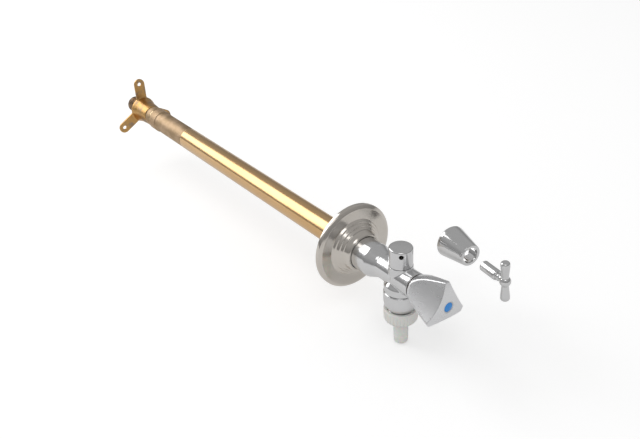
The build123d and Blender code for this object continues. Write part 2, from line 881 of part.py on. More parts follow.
# Loose set, in its own coordinates: its axis runs along -Y from the cone's large end at the origin
def cone_sleeve():
    shape = turned_y(
        (cone_skirt_radius, 0),
        (cone_large_radius - 0.5, 0),
        (cone_large_radius, -1.0, 0.5),
        (cone_large_radius - 0.25, -3.4, 0.5),
        (cone_small_radius, -cone_length, 0.6),
        (cone_bore_radius, -cone_length),
        (cone_bore_radius, -cone_skirt_depth - 6.0),
        (cone_skirt_radius, -cone_skirt_depth),
    )
    return shape


def key():
    start = cone_length + key_gap
    ball = start + key_ball_place
    shape = turned_y(
        (0, -start),
        (key_barrel_radius, -start, 1.2),
        (key_barrel_radius, -start - key_barrel_length, 1.6),
        (key_neck_radius, -start - key_barrel_length - 0.6),
        (key_neck_radius, -start - key_barrel_length - 1.6),
        (key_bead_radius, -start - key_barrel_length - 2.2, 0.4),
        (key_bead_radius, -start - key_barrel_length - 3.4, 0.4),
        (key_neck_radius, -start - key_barrel_length - 4.0),
        (key_neck_radius, -ball),
        (0, -ball),
    )
    shape += Pos(0, -ball, 0) * Sphere(key_ball_radius)
    half_bar = turned_z(
        (0, 0),
        (key_bar_waist_radius, 0),
        (key_bar_waist_radius, key_ball_radius, 4.0),
        (key_bar_end_radius, key_bar_half - 5.0, 3.0),
        (key_bar_end_radius, key_bar_half, 2.4),
        (0, key_bar_half),
    )
    for tip in (0, 180):
        shape += Pos(0, -ball, 0) * Rot(0, -key_bar_roll + tip, 0) * half_bar
    return shape - square_y(key_socket_square, -start + 1, -start - key_socket_depth)


LOOSE_SET = Pos(set_x, -reach + set_back, 0) * Rot(0, 0, -set_yaw)

at_plate = {
    "wall_plate": wall_plate(),
    "inlet_nozzle": inlet_nozzle(),
    "rear_sleeve": rear_sleeve(),
    "valve_seat": valve_seat(),
    "sleeve_gasket": sleeve_gasket(),
    "outer_tube": outer_tube(),
    "tube_seals": tube_seals(),
    "valve_rod": valve_rod(),
    "rod_guides": rod_guides(),
    "valve_head": valve_head(),
    "valve_washer": valve_washer(),
    "washer_nut": washer_nut(),
}

at_crossing = {
    "front_body": front_body(),
    "bonnet": bonnet(),
    "bonnet_seal": bonnet_seal(),
    "spindle": spindle(),
    "stem_seals": stem_seals(),
    "slip_washer": slip_washer(),
    "spindle_clip": spindle_clip(),
    "rod_coupling": rod_coupling(),
    "rosette": rosette(),
    "rosette_ring": rosette_ring(),
    "air_cap": air_cap(),
    "cap_seal": cap_seal(),
    "air_valve_cage": air_valve_cage(),
    "air_valve_float": air_valve_float(),
    "air_valve_seat": air_valve_seat(),
    "outlet_housing": outlet_housing(),
    "housing_seal": housing_seal(),
    "check_valve_body": check_valve_body(),
    "check_poppet": check_poppet(),
    "poppet_seal": poppet_seal(),
    "check_valve_spring": check_valve_spring(),
    "hose_washer": hose_washer(),
    "union_nut": union_nut(),
    "hose_tail": hose_tail(),
    "handle": handle(),
    "spline_insert": spline_insert(),
    "handle_screw": handle_screw(),
    "index_cap": index_cap(),
}

loose_set = {
    "cone_sleeve": cone_sleeve(),
    "key": key(),
}

for place, group in ((Pos(0, 0, 0), at_plate), (CROSSING, at_crossing), (LOOSE_SET, loose_set)):
    for name, shape in group.items():
        save(name, place * shape)
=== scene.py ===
"""Frost free sillcock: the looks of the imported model, in metres and in the frame of its solids.

Sizes are written in millimetres beside each piece. The tap axis runs along Y with the inlet at +Y, and the spout's
axis crosses it at y = -528. The tap stands out of the wall towards -Y.
"""

import json
import math

import bmesh
import bpy
import numpy as np
from mathutils import Matrix, Vector


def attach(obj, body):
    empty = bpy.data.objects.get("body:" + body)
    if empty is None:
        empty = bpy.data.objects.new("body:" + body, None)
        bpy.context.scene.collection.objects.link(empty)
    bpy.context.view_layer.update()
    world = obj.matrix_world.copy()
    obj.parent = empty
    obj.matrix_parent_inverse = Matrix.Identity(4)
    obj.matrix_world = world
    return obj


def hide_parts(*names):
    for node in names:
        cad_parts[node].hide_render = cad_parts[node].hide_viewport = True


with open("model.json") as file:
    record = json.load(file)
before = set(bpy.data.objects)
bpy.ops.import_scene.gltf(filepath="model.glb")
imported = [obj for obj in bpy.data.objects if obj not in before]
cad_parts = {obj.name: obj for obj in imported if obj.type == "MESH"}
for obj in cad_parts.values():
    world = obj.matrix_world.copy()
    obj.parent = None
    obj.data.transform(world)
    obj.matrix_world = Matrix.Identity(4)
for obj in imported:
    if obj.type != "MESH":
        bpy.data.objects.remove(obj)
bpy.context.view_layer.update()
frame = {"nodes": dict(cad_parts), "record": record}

# The studio: a pale floor just under the hose tail and a grey tent that only reflections see. A large softbox stands
# over the inlet end and a smaller one over the handle end, and the camera looks down past the handle.
MM = 0.001
FLOOR_Z = -75.0


def link(name, mesh):
    """Object of a mesh, at the origin."""
    piece = bpy.data.objects.new(name, mesh)
    bpy.context.scene.collection.objects.link(piece)
    return piece


def skin(name, points, closed):
    """Mesh over a grid of points in millimetres. Neighbours in the two directions share a face, and closed says
    which of the directions join their last line to their first. Points that coincide, as at a pole, are merged."""
    rows, columns = points.shape[:2]
    row = np.arange(rows if closed[0] else rows - 1)
    column = np.arange(columns if closed[1] else columns - 1)
    a, b = np.meshgrid(row, column, indexing="ij")
    c, d = (a + 1) % rows, (b + 1) % columns
    faces = np.stack([a * columns + b, c * columns + b, c * columns + d, a * columns + d], -1)
    mesh = bpy.data.meshes.new(name)
    mesh.from_pydata((points.reshape(-1, 3) * MM).tolist(), [], faces.reshape(-1, 4).tolist())
    work = bmesh.new()
    work.from_mesh(mesh)
    bmesh.ops.remove_doubles(work, verts=work.verts, dist=1e-7)
    bmesh.ops.recalc_face_normals(work, faces=work.faces)
    work.to_mesh(mesh)
    work.free()
    mesh.shade_smooth()
    mesh.set_sharp_from_angle(angle=math.radians(32))
    return link(name, mesh)


class Value:
    """A number that varies over a surface. Arithmetic on it adds Math nodes, also where it stands second."""

    def __init__(self, finish, socket):
        self.finish = finish
        self.socket = socket

    def math(self, operation, *terms):
        return self.finish.node("ShaderNodeMath", {"operation": operation}, dict(enumerate(terms)))

    def __add__(self, other):
        return self.math("ADD", self, other)

    def __radd__(self, other):
        return self.math("ADD", other, self)

    def __mul__(self, other):
        return self.math("MULTIPLY", self, other)

    def __rmul__(self, other):
        return self.math("MULTIPLY", other, self)

    def __pow__(self, other):
        return self.math("POWER", self, other)


class Finish:
    """One finish of the tap: a material, its Principled shader, and nodes on the piece's own coordinates."""

    def __init__(self, name, **constants):
        self.material = bpy.data.materials.new(name)
        self.material.use_nodes = True
        self.tree = self.material.node_tree
        self.shader = self.tree.nodes["Principled BSDF"]
        self.place = self.node("ShaderNodeTexCoord", output="Object")
        self.show(**constants)

    def feed(self, socket, value):
        """Link a varying value to a socket, or write a constant on it."""
        if isinstance(value, Value):
            self.tree.links.new(value.socket, socket)
        elif socket.type == "RGBA" and len(value) == 3:
            socket.default_value = (*value, 1.0)
        else:
            socket.default_value = value

    def show(self, **looks):
        """Feed the shader's sockets, each named in small letters with an underscore for a space."""
        for key, value in looks.items():
            self.feed(self.shader.inputs[key.replace("_", " ").title()], value)

    def node(self, kind, settings=None, inputs=None, output=0):
        """A node of any kind: its settings first, then its sockets' values or links."""
        made = self.tree.nodes.new(kind)
        for key, value in (settings or {}).items():
            setattr(made, key, value)
        for key, value in (inputs or {}).items():
            self.feed(made.inputs[key], value)
        return Value(self, made.outputs[output])

    def noise(self, scale, detail=3.0, stretch=(1.0, 1.0, 1.0), place=None):
        """Cloudy value round 0.5, with scale cells to the metre, drawn out where stretch is small."""
        spread = self.node("ShaderNodeMapping", {}, {"Vector": place or self.place, "Scale": stretch})
        return self.node("ShaderNodeTexNoise", {}, {"Vector": spread, "Scale": scale, "Detail": detail})

    def ramp(self, value, low, high):
        """0 where value is below low, 1 where it is above high, straight in between."""
        return self.node("ShaderNodeMapRange", {"clamp": True}, {0: value, 1: low, 2: high})

    def blend(self, share, first, second):
        """Colour between first and second."""
        return self.node("ShaderNodeMix", {"data_type": "RGBA"}, {0: share, 6: first, 7: second}, 2)

    def bump(self, height, distance, strength=1.0):
        """Normal of a surface raised by height times distance, in metres."""
        return self.node("ShaderNodeBump", {}, {"Height": height, "Distance": distance, "Strength": strength})


def dress(piece, body, slot, finish, *nodes):
    """Give a piece its finish, let it ride on a body, and let it stand for the CAD nodes it is made after."""
    piece.data.materials.clear()
    piece.data.materials.append(finish.material)
    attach(piece, body)
    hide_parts(*nodes)


floor_half = 12000.0
floor_grey = 0.64
floor_glow_to_camera = 0.46
floor_glow_to_metal = 0.12
floor_line = np.array([-floor_half, floor_half])
floor_x, floor_y = np.meshgrid(floor_line, floor_line, indexing="ij")
floor = skin("floor", np.stack([floor_x, floor_y, np.full_like(floor_x, FLOOR_Z)], -1), (False, False))
floor_paint = Finish("floor_paint", base_color=(floor_grey,) * 3, roughness=0.9)
floor_seen = floor_paint.node("ShaderNodeLightPath", output="Is Camera Ray")
floor_mirrored = floor_paint.node("ShaderNodeLightPath", output="Is Glossy Ray")
floor_paint.show(
    emission_color=(1.0, 1.0, 1.0),
    emission_strength=floor_seen * floor_glow_to_camera + floor_mirrored * floor_glow_to_metal,
)
floor.data.materials.append(floor_paint.material)

# The tent is half a ball over the floor: the point at turn a and height angle b is centre + radius * (cos a cos b,
# sin a cos b, sin b). It grows lighter with height.
tent_radius = 3200.0
tent_centre = np.array([0.0, -300.0, FLOOR_Z - 5.0])
tent_low_grey = 0.23
tent_high_grey = 0.40
tent_full_height = 1.8
tent_turn = np.linspace(0, 2 * math.pi, 96, endpoint=False)
tent_rise = np.linspace(0, math.pi / 2, 32)
tent_a, tent_b = np.meshgrid(tent_turn, tent_rise, indexing="ij")
tent_shape = np.stack([np.cos(tent_a) * np.cos(tent_b), np.sin(tent_a) * np.cos(tent_b), np.sin(tent_b)], -1)
tent = skin("tent", tent_shape * tent_radius + tent_centre, (True, False))
tent_cloth = Finish("tent_cloth", base_color=(0.0, 0.0, 0.0), roughness=1.0, emission_strength=1.0)
tent_height = tent_cloth.node("ShaderNodeSeparateXYZ", {}, {0: tent_cloth.place}, "Z")
tent_share = tent_cloth.ramp(tent_height, 0.0, tent_full_height)
tent_cloth.show(emission_color=tent_cloth.blend(tent_share, (tent_low_grey,) * 3, (tent_high_grey,) * 3))
tent.data.materials.append(tent_cloth.material)
tent.visible_camera = False
tent.visible_diffuse = False
tent.visible_shadow = False

# The sky is white to the camera, to reflections and through clear things, and lights the part less than that.
sky_fill = 0.62
sky_white = 1.0
world = bpy.data.worlds.new("studio")
world.use_nodes = True
bpy.context.scene.world = world
sky = world.node_tree
sky_paths = sky.nodes.new("ShaderNodeLightPath")
sky_seen = sky_paths.outputs["Is Camera Ray"]
for ray in ("Is Glossy Ray", "Is Transmission Ray"):
    either = sky.nodes.new("ShaderNodeMath")
    either.operation = "MAXIMUM"
    sky.links.new(sky_seen, either.inputs[0])
    sky.links.new(sky_paths.outputs[ray], either.inputs[1])
    sky_seen = either.outputs[0]
sky_level = sky.nodes.new("ShaderNodeMapRange")
sky_level.inputs["To Min"].default_value = sky_fill
sky_level.inputs["To Max"].default_value = sky_white
sky.links.new(sky_seen, sky_level.inputs["Value"])
sky_glow = sky.nodes["Background"]
sky_glow.inputs["Color"].default_value = (1.0, 1.0, 1.0, 1.0)
sky.links.new(sky_level.outputs[0], sky_glow.inputs["Strength"])


def softbox(name, place, aim, width, length, glow):
    """Rectangular lamp in millimetres at place, turned to aim, with glow as the brightness of its face."""
    lamp = bpy.data.lights.new(name, "AREA")
    lamp.shape = "RECTANGLE"
    lamp.size = width * MM
    lamp.size_y = length * MM
    lamp.energy = glow * math.pi * width * length * MM * MM
    stand = bpy.data.objects.new(name, lamp)
    bpy.context.scene.collection.objects.link(stand)
    stand.location = Vector(place) * MM
    stand.rotation_euler = (Vector(aim) - Vector(place)).to_track_quat("-Z", "Y").to_euler()


softbox("overhead_box", (-690.0, 1210.0, 1110.0), aim=(0.0, -300.0, 0.0), width=1450.0, length=1700.0, glow=2.2)
softbox("front_box", (-700.0, -1340.0, 1560.0), aim=(0.0, -528.0, 0.0), width=1000.0, length=700.0, glow=1.5)

camera_azimuth = math.radians(-34.99)
camera_elevation = math.radians(30.66)
camera_roll = math.radians(-3.29)
camera_place = Vector((-415.63, -998.07, 435.06)) * MM
camera = bpy.data.objects.new("camera", bpy.data.cameras.new("camera"))
bpy.context.scene.collection.objects.link(camera)
ahead = Vector((
    -math.sin(camera_azimuth) * math.cos(camera_elevation),
    math.cos(camera_azimuth) * math.cos(camera_elevation),
    -math.sin(camera_elevation),
))
level_right = Vector((math.cos(camera_azimuth), math.sin(camera_azimuth), 0.0))
level_up = level_right.cross(ahead)
right = level_right * math.cos(camera_roll) + level_up * math.sin(camera_roll)
up = level_up * math.cos(camera_roll) - level_right * math.sin(camera_roll)
camera_turn = Matrix((right, up, -ahead)).transposed().to_4x4()
camera.matrix_world = Matrix.Translation(camera_place) @ camera_turn
camera.data.lens = 46.52
camera.data.sensor_width = 36.0
camera.data.clip_start = 0.05
camera.data.clip_end = 60.0
bpy.context.scene.camera = camera
bpy.context.scene.view_settings.view_transform = "Standard"


# Wall plate: a brass casting with a hub that flares into three lugs. It came out of the sand with soft edges, was
# tumbled, and kept grey-brown patches where the polish does not reach.
def finished(piece):
    """The piece with its modifiers worked into its mesh."""
    depsgraph = bpy.context.evaluated_depsgraph_get()
    mesh = bpy.data.meshes.new_from_object(piece.evaluated_get(depsgraph))
    piece.modifiers.clear()
    piece.data = mesh
    return piece


def softened(name, node, cell, passes):
    """Copy of a CAD node with every crease eased: its triangles are merged, rebuilt from cells of that size and
    smoothed, which rounds a casting's edges by about two cells."""
    mesh = frame["nodes"][node].data.copy()
    mesh.name = name
    work = bmesh.new()
    work.from_mesh(mesh)
    bmesh.ops.remove_doubles(work, verts=work.verts, dist=1e-6)
    work.to_mesh(mesh)
    work.free()
    piece = link(name, mesh)
    cells = piece.modifiers.new("cells", "REMESH")
    cells.mode = "VOXEL"
    cells.voxel_size = cell * MM
    cells.use_smooth_shade = True
    ease = piece.modifiers.new("ease", "SMOOTH")
    ease.factor = 0.5
    ease.iterations = passes
    return finished(piece)


cast_brass = Finish("cast_brass", metallic=1.0)
cast_grain = cast_brass.noise(1400.0, 4.0)
cast_cloud = cast_brass.noise(90.0, 3.0)
cast_patch = cast_brass.ramp(cast_cloud, 0.50, 0.68)
cast_brass.show(
    base_color=cast_brass.blend(cast_patch, (0.62, 0.37, 0.14), (0.40, 0.30, 0.21)),
    roughness=0.30 + 0.16 * cast_patch + 0.08 * cast_grain,
    normal=cast_brass.bump(cast_grain + 2.0 * cast_cloud, 0.00012, 0.6),
)
plate = softened("wall_plate_casting", "wall_plate", cell=0.42, passes=7)
dress(plate, "tap_body", "cast_brass", cast_brass, "wall_plate")


# Inlet nozzle: a machined brass nipple screwed into the back of the plate. It has a collar, a parallel pipe thread
# and a chamfered mouth, and it is the darkest brass of the tap.
def rounded(corners, steps=6):
    """Closed profile through (radius, place, rounding) corners. A corner with a rounding becomes an arc that touches
    both of its sides, with its points at equal turns about the arc's centre."""
    points = np.array([corner[:2] for corner in corners], float)
    out = []
    for index, corner in enumerate(corners):
        here = points[index]
        if len(corner) < 3:
            out.append(here[None])
            continue
        back = points[index - 1] - here
        on = points[(index + 1) % len(points)] - here
        back /= np.linalg.norm(back)
        on /= np.linalg.norm(on)
        half = math.acos(float(np.clip(back @ on, -1, 1))) / 2
        middle = (back + on) / np.linalg.norm(back + on)
        centre = here + middle * corner[2] / math.sin(half)
        first = here + back * corner[2] / math.tan(half) - centre
        last = here + on * corner[2] / math.tan(half) - centre
        sweep = math.pi - 2 * half
        share = np.linspace(0, 1, steps + 1)[:, None]
        arc = (first * np.sin((1 - share) * sweep) + last * np.sin(share * sweep)) / math.sin(sweep)
        out.append(centre + arc)
    return np.concatenate(out)


def turned(name, profile, along=(0, 1, 0), centre=(0, 0, 0), sides=168, shape=None):
    """Surface of revolution. The point at turn a of profile point (r, h) is centre + h * along + r * (cos a * side +
    sin a * rise). shape(a, r, h) may change r. A profile that keeps off the axis at both ends is a closed loop."""
    along = np.array(along, float) / np.linalg.norm(along)
    side = np.cross(along, (0, 0, 1)) if abs(along[2]) < 0.9 else np.array((1.0, 0, 0))
    side /= np.linalg.norm(side)
    rise = np.cross(along, side)
    profile = np.asarray(profile, float)
    turns = np.arange(sides) * 2 * math.pi / sides
    turn, point = np.meshgrid(turns, np.arange(len(profile)), indexing="ij")
    radius = profile[:, 0][point]
    height = profile[:, 1][point]
    if shape:
        radius = shape(turn, radius, height)
    points = np.array(centre, float) + height[..., None] * along
    points = points + radius[..., None] * (np.cos(turn)[..., None] * side + np.sin(turn)[..., None] * rise)
    on_axis = profile[0, 0] < 1e-6 or profile[-1, 0] < 1e-6
    return skin(name, points, (True, not on_axis))


def screw_thread(outer, low, high, pitch, depth):
    """Shape for turned(): between low and high, what lies at the outer radius gets a thread whose flank is a wave of
    h / pitch + a / whole turn, fading out over one pitch at both ends."""

    def cut(turn, radius, height):
        phase = (height / pitch + turn / (2 * math.pi)) % 1.0
        wave = np.clip(1.6 * np.abs(2 * phase - 1) - 0.3, 0, 1)
        fade = np.clip(np.minimum(height - low, high - height) / pitch, 0, 1)
        return np.where(radius > outer - 0.05, radius - depth * wave * fade, radius)

    return cut


def stations(radius, low, high, count):
    """Profile points at one radius, evenly spread from low to high."""
    return np.stack([np.full(count, radius), np.linspace(low, high, count)], 1)


nozzle_brass = Finish("nozzle_brass", metallic=1.0)
nozzle_stain = nozzle_brass.noise(160.0, 4.0)
nozzle_share = nozzle_brass.ramp(nozzle_stain, 0.42, 0.62)
nozzle_brass.show(
    base_color=nozzle_brass.blend(nozzle_share, (0.20, 0.13, 0.08), (0.42, 0.30, 0.20)),
    roughness=0.24 + 0.20 * nozzle_stain,
    normal=nozzle_brass.bump(nozzle_brass.noise(2500.0, 2.0), 0.00002),
)
pipe_pitch = 1.814
nozzle_bore = 7.5
nozzle_spigot = 9.6
nozzle_collar = 12.2
nozzle_radius = 10.48
nozzle_foot = -7.0
nozzle_collar_back = 2.6
nozzle_collar_front = 5.6
nozzle_thread_end = 26.4
nozzle_end = 27.6
nozzle_profile = np.concatenate([
    rounded([
        (nozzle_bore, nozzle_foot), (nozzle_spigot, nozzle_foot), (nozzle_spigot, nozzle_collar_back),
        (nozzle_collar, nozzle_collar_back, 0.4), (nozzle_collar, nozzle_collar_front, 0.4),
        (10.3, nozzle_collar_front),
    ]),
    stations(nozzle_radius, 6.4, nozzle_thread_end, 140),
    rounded([(10.0, 26.9), (9.5, nozzle_end, 0.2), (8.0, nozzle_end, 0.3), (nozzle_bore, 27.0)]),
])
nozzle_thread = screw_thread(nozzle_radius, low=7.0, high=nozzle_thread_end, pitch=pipe_pitch, depth=0.95)
nozzle = turned("inlet_nozzle_thread", nozzle_profile, shape=nozzle_thread)
dress(nozzle, "tap_body", "nozzle_brass", nozzle_brass, "inlet_nozzle")

# Rear sleeve: a brass bar part, pickled dull. Its back is screwed into the plate over a thin fibre gasket, a groove
# was cut before its collar, and the band in the groove was left bright by the tool.
matt_brass = Finish("matt_brass", metallic=1.0)
matt_cloud = matt_brass.noise(70.0, 4.0)
matt_speck = matt_brass.noise(1900.0, 3.0)
matt_share = matt_brass.ramp(matt_cloud, 0.40, 0.62)
matt_brass.show(
    base_color=matt_brass.blend(matt_share, (0.46, 0.33, 0.20), (0.60, 0.44, 0.29)),
    roughness=0.46 + 0.14 * matt_cloud,
    normal=matt_brass.bump(matt_speck, 0.00004),
)
sleeve_radius = 13.0
sleeve_thread = 10.38
sleeve_bore = 8.0
sleeve_start = -17.5
sleeve_shoulder = -31.5
groove_radius = 12.1
groove_back = -40.4
groove_front = -44.0
sleeve_collar = 13.9
sleeve_collar_front = -58.0
spigot_radius = 11.93
spigot_bore = 9.6
spigot_back = -128.0
spigot_front = -144.0
sleeve_profile = rounded([
    (sleeve_thread, sleeve_start), (sleeve_thread, sleeve_shoulder), (12.4, sleeve_shoulder),
    (sleeve_radius, -32.3), (sleeve_radius, groove_back, 0.3), (groove_radius, groove_back, 0.2),
    (groove_radius, groove_front, 0.2), (sleeve_collar, groove_front, 0.35),
    (sleeve_collar, sleeve_collar_front, 0.35), (sleeve_radius, -58.8, 0.3), (sleeve_radius, -127.9, 0.1),
    (spigot_radius, spigot_back), (spigot_radius, spigot_front), (spigot_bore, spigot_front),
    (spigot_bore, -41.5), (sleeve_bore, -41.5), (sleeve_bore, sleeve_start),
])
sleeve = turned("rear_sleeve_bar", sleeve_profile)
dress(sleeve, "tap_body", "matt_brass", matt_brass, "rear_sleeve")

tooled_brass = Finish("tooled_brass", metallic=1.0)
tool_mark = tooled_brass.noise(1400.0, 2.0, (1.0, 4.0, 1.0))
tooled_brass.show(
    base_color=tooled_brass.blend(tool_mark, (0.74, 0.56, 0.32), (0.84, 0.68, 0.44)),
    roughness=0.14 + 0.10 * tool_mark,
)
band_foot = 12.0
band_radius = 12.9
band_back = -40.9
band_front = -42.3
band_profile = rounded([
    (band_foot, band_back), (band_radius, band_back, 0.3), (band_radius, band_front, 0.3), (band_foot, band_front),
])
band = turned("rear_sleeve_bright_band", band_profile)
dress(band, "tap_body", "matt_brass", tooled_brass, "rear_sleeve")

# Outer tube: drawn brass, polished along its length. It is slipped over the sleeve's spigot at the back and into
# the barrel at the front, and carries faint lengthwise drawing lines and a little warm tarnish.
bright_brass = Finish("bright_brass", metallic=1.0)
drawn_line = bright_brass.noise(1500.0, 2.0, (1.0, 0.012, 1.0))
tarnish = bright_brass.noise(38.0, 3.0, (1.0, 0.35, 1.0))
tarnish_share = bright_brass.ramp(tarnish, 0.38, 0.66)
bright_brass.show(
    base_color=bright_brass.blend(tarnish_share, (0.80, 0.53, 0.27), (0.72, 0.46, 0.22)),
    roughness=0.15 + 0.07 * drawn_line + 0.05 * tarnish,
    normal=bright_brass.bump(drawn_line, 0.000015),
)
tube_bore = 11.95
tube_radius = 13.15
tube_back = -128.05
tube_front = -480.0
tube_profile = rounded([
    (tube_bore, tube_back), (tube_radius, tube_back, 0.25), (tube_radius, tube_front), (tube_bore, tube_front),
])
tube = turned("outer_tube_drawn", tube_profile, sides=224)
dress(tube, "tap_body", "bright_brass", bright_brass, "outer_tube")


# Front body: one hot-pressed and chromed brass piece with barrel, neck, front branch, stem and spout bulge. The dies
# leave soft blends where the round parts run into each other, and the buffing leaves faint waves under the plating.
def chrome_plate(name, shade, gloss):
    """Buffed and plated brass: slow waves in the surface, and a roughness that drifts with handling."""
    plated = Finish(name, metallic=1.0)
    wave = plated.noise(55.0, 2.0)
    haze = plated.noise(420.0, 4.0)
    plated.show(
        base_color=plated.blend(wave, tuple(0.93 * c for c in shade), shade),
        roughness=gloss + 0.10 * plated.ramp(haze, 0.45, 0.75),
        normal=plated.bump(wave + 0.05 * haze, 0.00035, 0.5),
    )
    return plated


chrome = chrome_plate("chrome", shade=(0.80, 0.80, 0.805), gloss=0.14)
body = softened("front_body_pressing", "front_body", cell=0.40, passes=8)
dress(body, "tap_body", "chrome", chrome, "front_body")

# Rosette: sheet pressed into a dish with three ridges, which slides on the barrel and hides the hole in the wall. It
# is spun, so very fine rings run round it, and it has a warm grey satin finish.
rosette_steel = Finish("rosette_steel", metallic=1.0)
rosette_x = rosette_steel.node("ShaderNodeSeparateXYZ", {}, {0: rosette_steel.place}, "X")
rosette_z = rosette_steel.node("ShaderNodeSeparateXYZ", {}, {0: rosette_steel.place}, "Z")
rosette_reach = (rosette_x * rosette_x + rosette_z * rosette_z) ** 0.5
ring_place = rosette_steel.node("ShaderNodeCombineXYZ", {}, {0: rosette_reach})
spun_ring = rosette_steel.noise(3200.0, 2.0, place=ring_place)
rosette_cloud = rosette_steel.noise(60.0, 3.0)
rosette_steel.show(
    base_color=rosette_steel.blend(rosette_cloud, (0.66, 0.61, 0.55), (0.76, 0.72, 0.67)),
    roughness=0.11 + 0.04 * spun_ring + 0.05 * rosette_steel.ramp(rosette_cloud, 0.45, 0.7),
    normal=rosette_steel.bump(spun_ring, 0.00001),
)
rosette_radius = 43.88
rosette_rim_bore = 42.48
rosette_back = -455.6
rosette_front = -476.0
rosette_neck = 17.3
rosette_profile = rounded([
    (rosette_radius, rosette_back, 0.3), (rosette_radius, -459.4, 1.6), (40.28, -461.4, 1.2),
    (29.4, -461.6, 0.8), (27.8, -463.7, 0.8), (26.4, -464.1, 0.6), (25.0, -466.8, 0.8), (23.6, -467.2, 0.6),
    (22.4, -469.6, 0.8), (21.4, -470.0, 0.5), (20.2, -474.4, 0.8), (18.9, rosette_front, 0.6),
    (rosette_neck, rosette_front, 0.3), (rosette_neck, -474.6, 0.3), (18.4, -474.6), (18.6, -467.2, 1.0),
    (22.0, -465.2, 0.8), (26.0, -460.0, 1.0), (rosette_rim_bore, -458.6, 1.0), (rosette_rim_bore, rosette_back, 0.3),
])
rosette = turned("rosette_pressing", rosette_profile, sides=256)
dress(rosette, "rosette", "rosette_steel", rosette_steel, "rosette")


# Air cap: a chromed cup over the air valve on top of the spout, seated on the stem with a hair-thin joint. One round
# hole on its left lets the air in, drilled straight through both of its walls.
def bored(piece, radius, start, end, sides=64):
    """Take a round bar from start to end, in millimetres, out of the piece."""
    start, end = np.array(start, float), np.array(end, float)
    length = np.linalg.norm(end - start)
    bar = turned("bar", [(0, 0), (radius, 0), (radius, length), (0, length)], end - start, start, sides)
    cut = piece.modifiers.new("cut", "BOOLEAN")
    cut.operation = "DIFFERENCE"
    cut.solver = "EXACT"
    cut.object = bar
    finished(piece)
    bpy.data.objects.remove(bar)
    piece.data.set_sharp_from_angle(angle=math.radians(32))


spout_place = -528.0
spout = (0, spout_place, 0)
upright = (0, 0, 1)
cap_radius = 11.27
cap_top = 32.5
cap_foot = 14.0
cap_seat = 19.2
cap_roof = 30.3
cap_profile = rounded([
    (0, cap_top), (cap_radius, cap_top, 1.7), (cap_radius, cap_foot, 0.15), (9.4, cap_foot), (9.4, cap_seat),
    (8.4, cap_seat), (8.4, cap_roof), (0, cap_roof),
])
cap = turned("air_cap_cup", cap_profile, upright, spout)
air_hole_radius = 2.25
air_hole_height = 27.8
air_hole_turn = math.radians(39.0)
air_bar_half = 14.0
air_way = np.array([-math.sin(air_hole_turn), -math.cos(air_hole_turn), 0.0])
air_start = np.array([0, spout_place, air_hole_height]) - air_way * air_bar_half
bored(cap, air_hole_radius, air_start, air_start + air_way * 2 * air_bar_half)
dress(cap, "tap_body", "chrome", chrome, "air_cap")

# Outlet housing: the chromed bowl of the check valve, pressed up into the spout, with a pipe thread below it for the
# union nut.
bowl_radius = 16.35
bowl_top = -14.7
bowl_socket = 11.45
check_bore = 10.0
housing_top = -10.3
housing_foot = -44.6
union_thread_radius = 13.15
union_thread_top = -35.6
union_thread_foot = -43.8
housing_profile = np.concatenate([
    rounded([
        (8.5, housing_top), (bowl_socket, housing_top), (bowl_socket, bowl_top), (bowl_radius, bowl_top, 1.0),
        (bowl_radius, -27.2, 14.0), (13.8, -32.8, 0.6), (12.15, -32.8), (12.15, -35.0),
    ]),
    stations(union_thread_radius, union_thread_top, union_thread_foot, 60),
    rounded([
        (12.95, -44.0), (12.35, housing_foot, 0.2), (8.2, housing_foot, 0.3), (8.2, -34.05), (check_bore, -34.05),
        (check_bore, -15.4), (8.5, -15.4),
    ]),
])
housing_thread = screw_thread(
    union_thread_radius, low=union_thread_foot, high=union_thread_top, pitch=pipe_pitch, depth=0.9,
)
housing = turned("outlet_housing_bowl", housing_profile, upright, spout, shape=housing_thread)
dress(housing, "tap_body", "chrome", chrome, "outlet_housing")

# Union nut and hose tail: off-white moulded plastic. The nut has thirty shallow flutes for wet hands, and the tail,
# which is a little milky, has two low barbs and a rounded end.
flute_count = 30
flute_depth = 0.62
flute_top = -35.9
flute_run = 1.2


def flutes(turn, radius, height):
    """Hollows round the nut: depth times a bump of the turn, fading out near the rim and towards the bore."""
    hollow = np.clip(np.cos(flute_count * turn), 0, 1) ** 2.2
    fade = np.clip((flute_top - height) / flute_run, 0, 1) * np.clip((radius - 11.6) / 1.5, 0, 1)
    return radius - flute_depth * hollow * fade


def divided(profile, spacing):
    """The profile with its straight runs divided, so that no two points are further apart than spacing."""
    runs = []
    for start, end in zip(profile, np.roll(profile, -1, 0)):
        count = max(1, math.ceil(np.linalg.norm(end - start) / spacing))
        runs.append(start + (end - start) * np.arange(count)[:, None] / count)
    return np.concatenate(runs)


union_plastic = Finish("union_plastic", subsurface_weight=0.12, subsurface_scale=0.004)
union_cloud = union_plastic.noise(120.0, 3.0)
union_plastic.show(
    base_color=union_plastic.blend(union_cloud, (0.86, 0.85, 0.81), (0.90, 0.89, 0.86)),
    roughness=0.34 + 0.10 * union_cloud,
    normal=union_plastic.bump(union_plastic.noise(1800.0, 3.0), 0.00003),
)
nut_radius = 16.25
nut_top = -34.5
nut_foot = -51.7
nut_bore = 13.25
nut_mouth = 7.75
nut_floor = -48.74
nut_corners = rounded([
    (nut_bore, nut_top, 0.3), (nut_radius, nut_top, 0.7), (nut_radius, -45.6, 3.5), (10.45, -51.1, 2.0),
    (8.35, nut_foot, 0.2), (nut_mouth, nut_foot, 0.1), (nut_mouth, nut_floor), (nut_bore, nut_floor),
], steps=10)
nut_profile = divided(nut_corners, spacing=0.7)
nut = turned("union_nut_moulding", nut_profile, upright, spout, sides=360, shape=flutes)
dress(nut, "union_nut", "union_plastic", union_plastic, "union_nut")

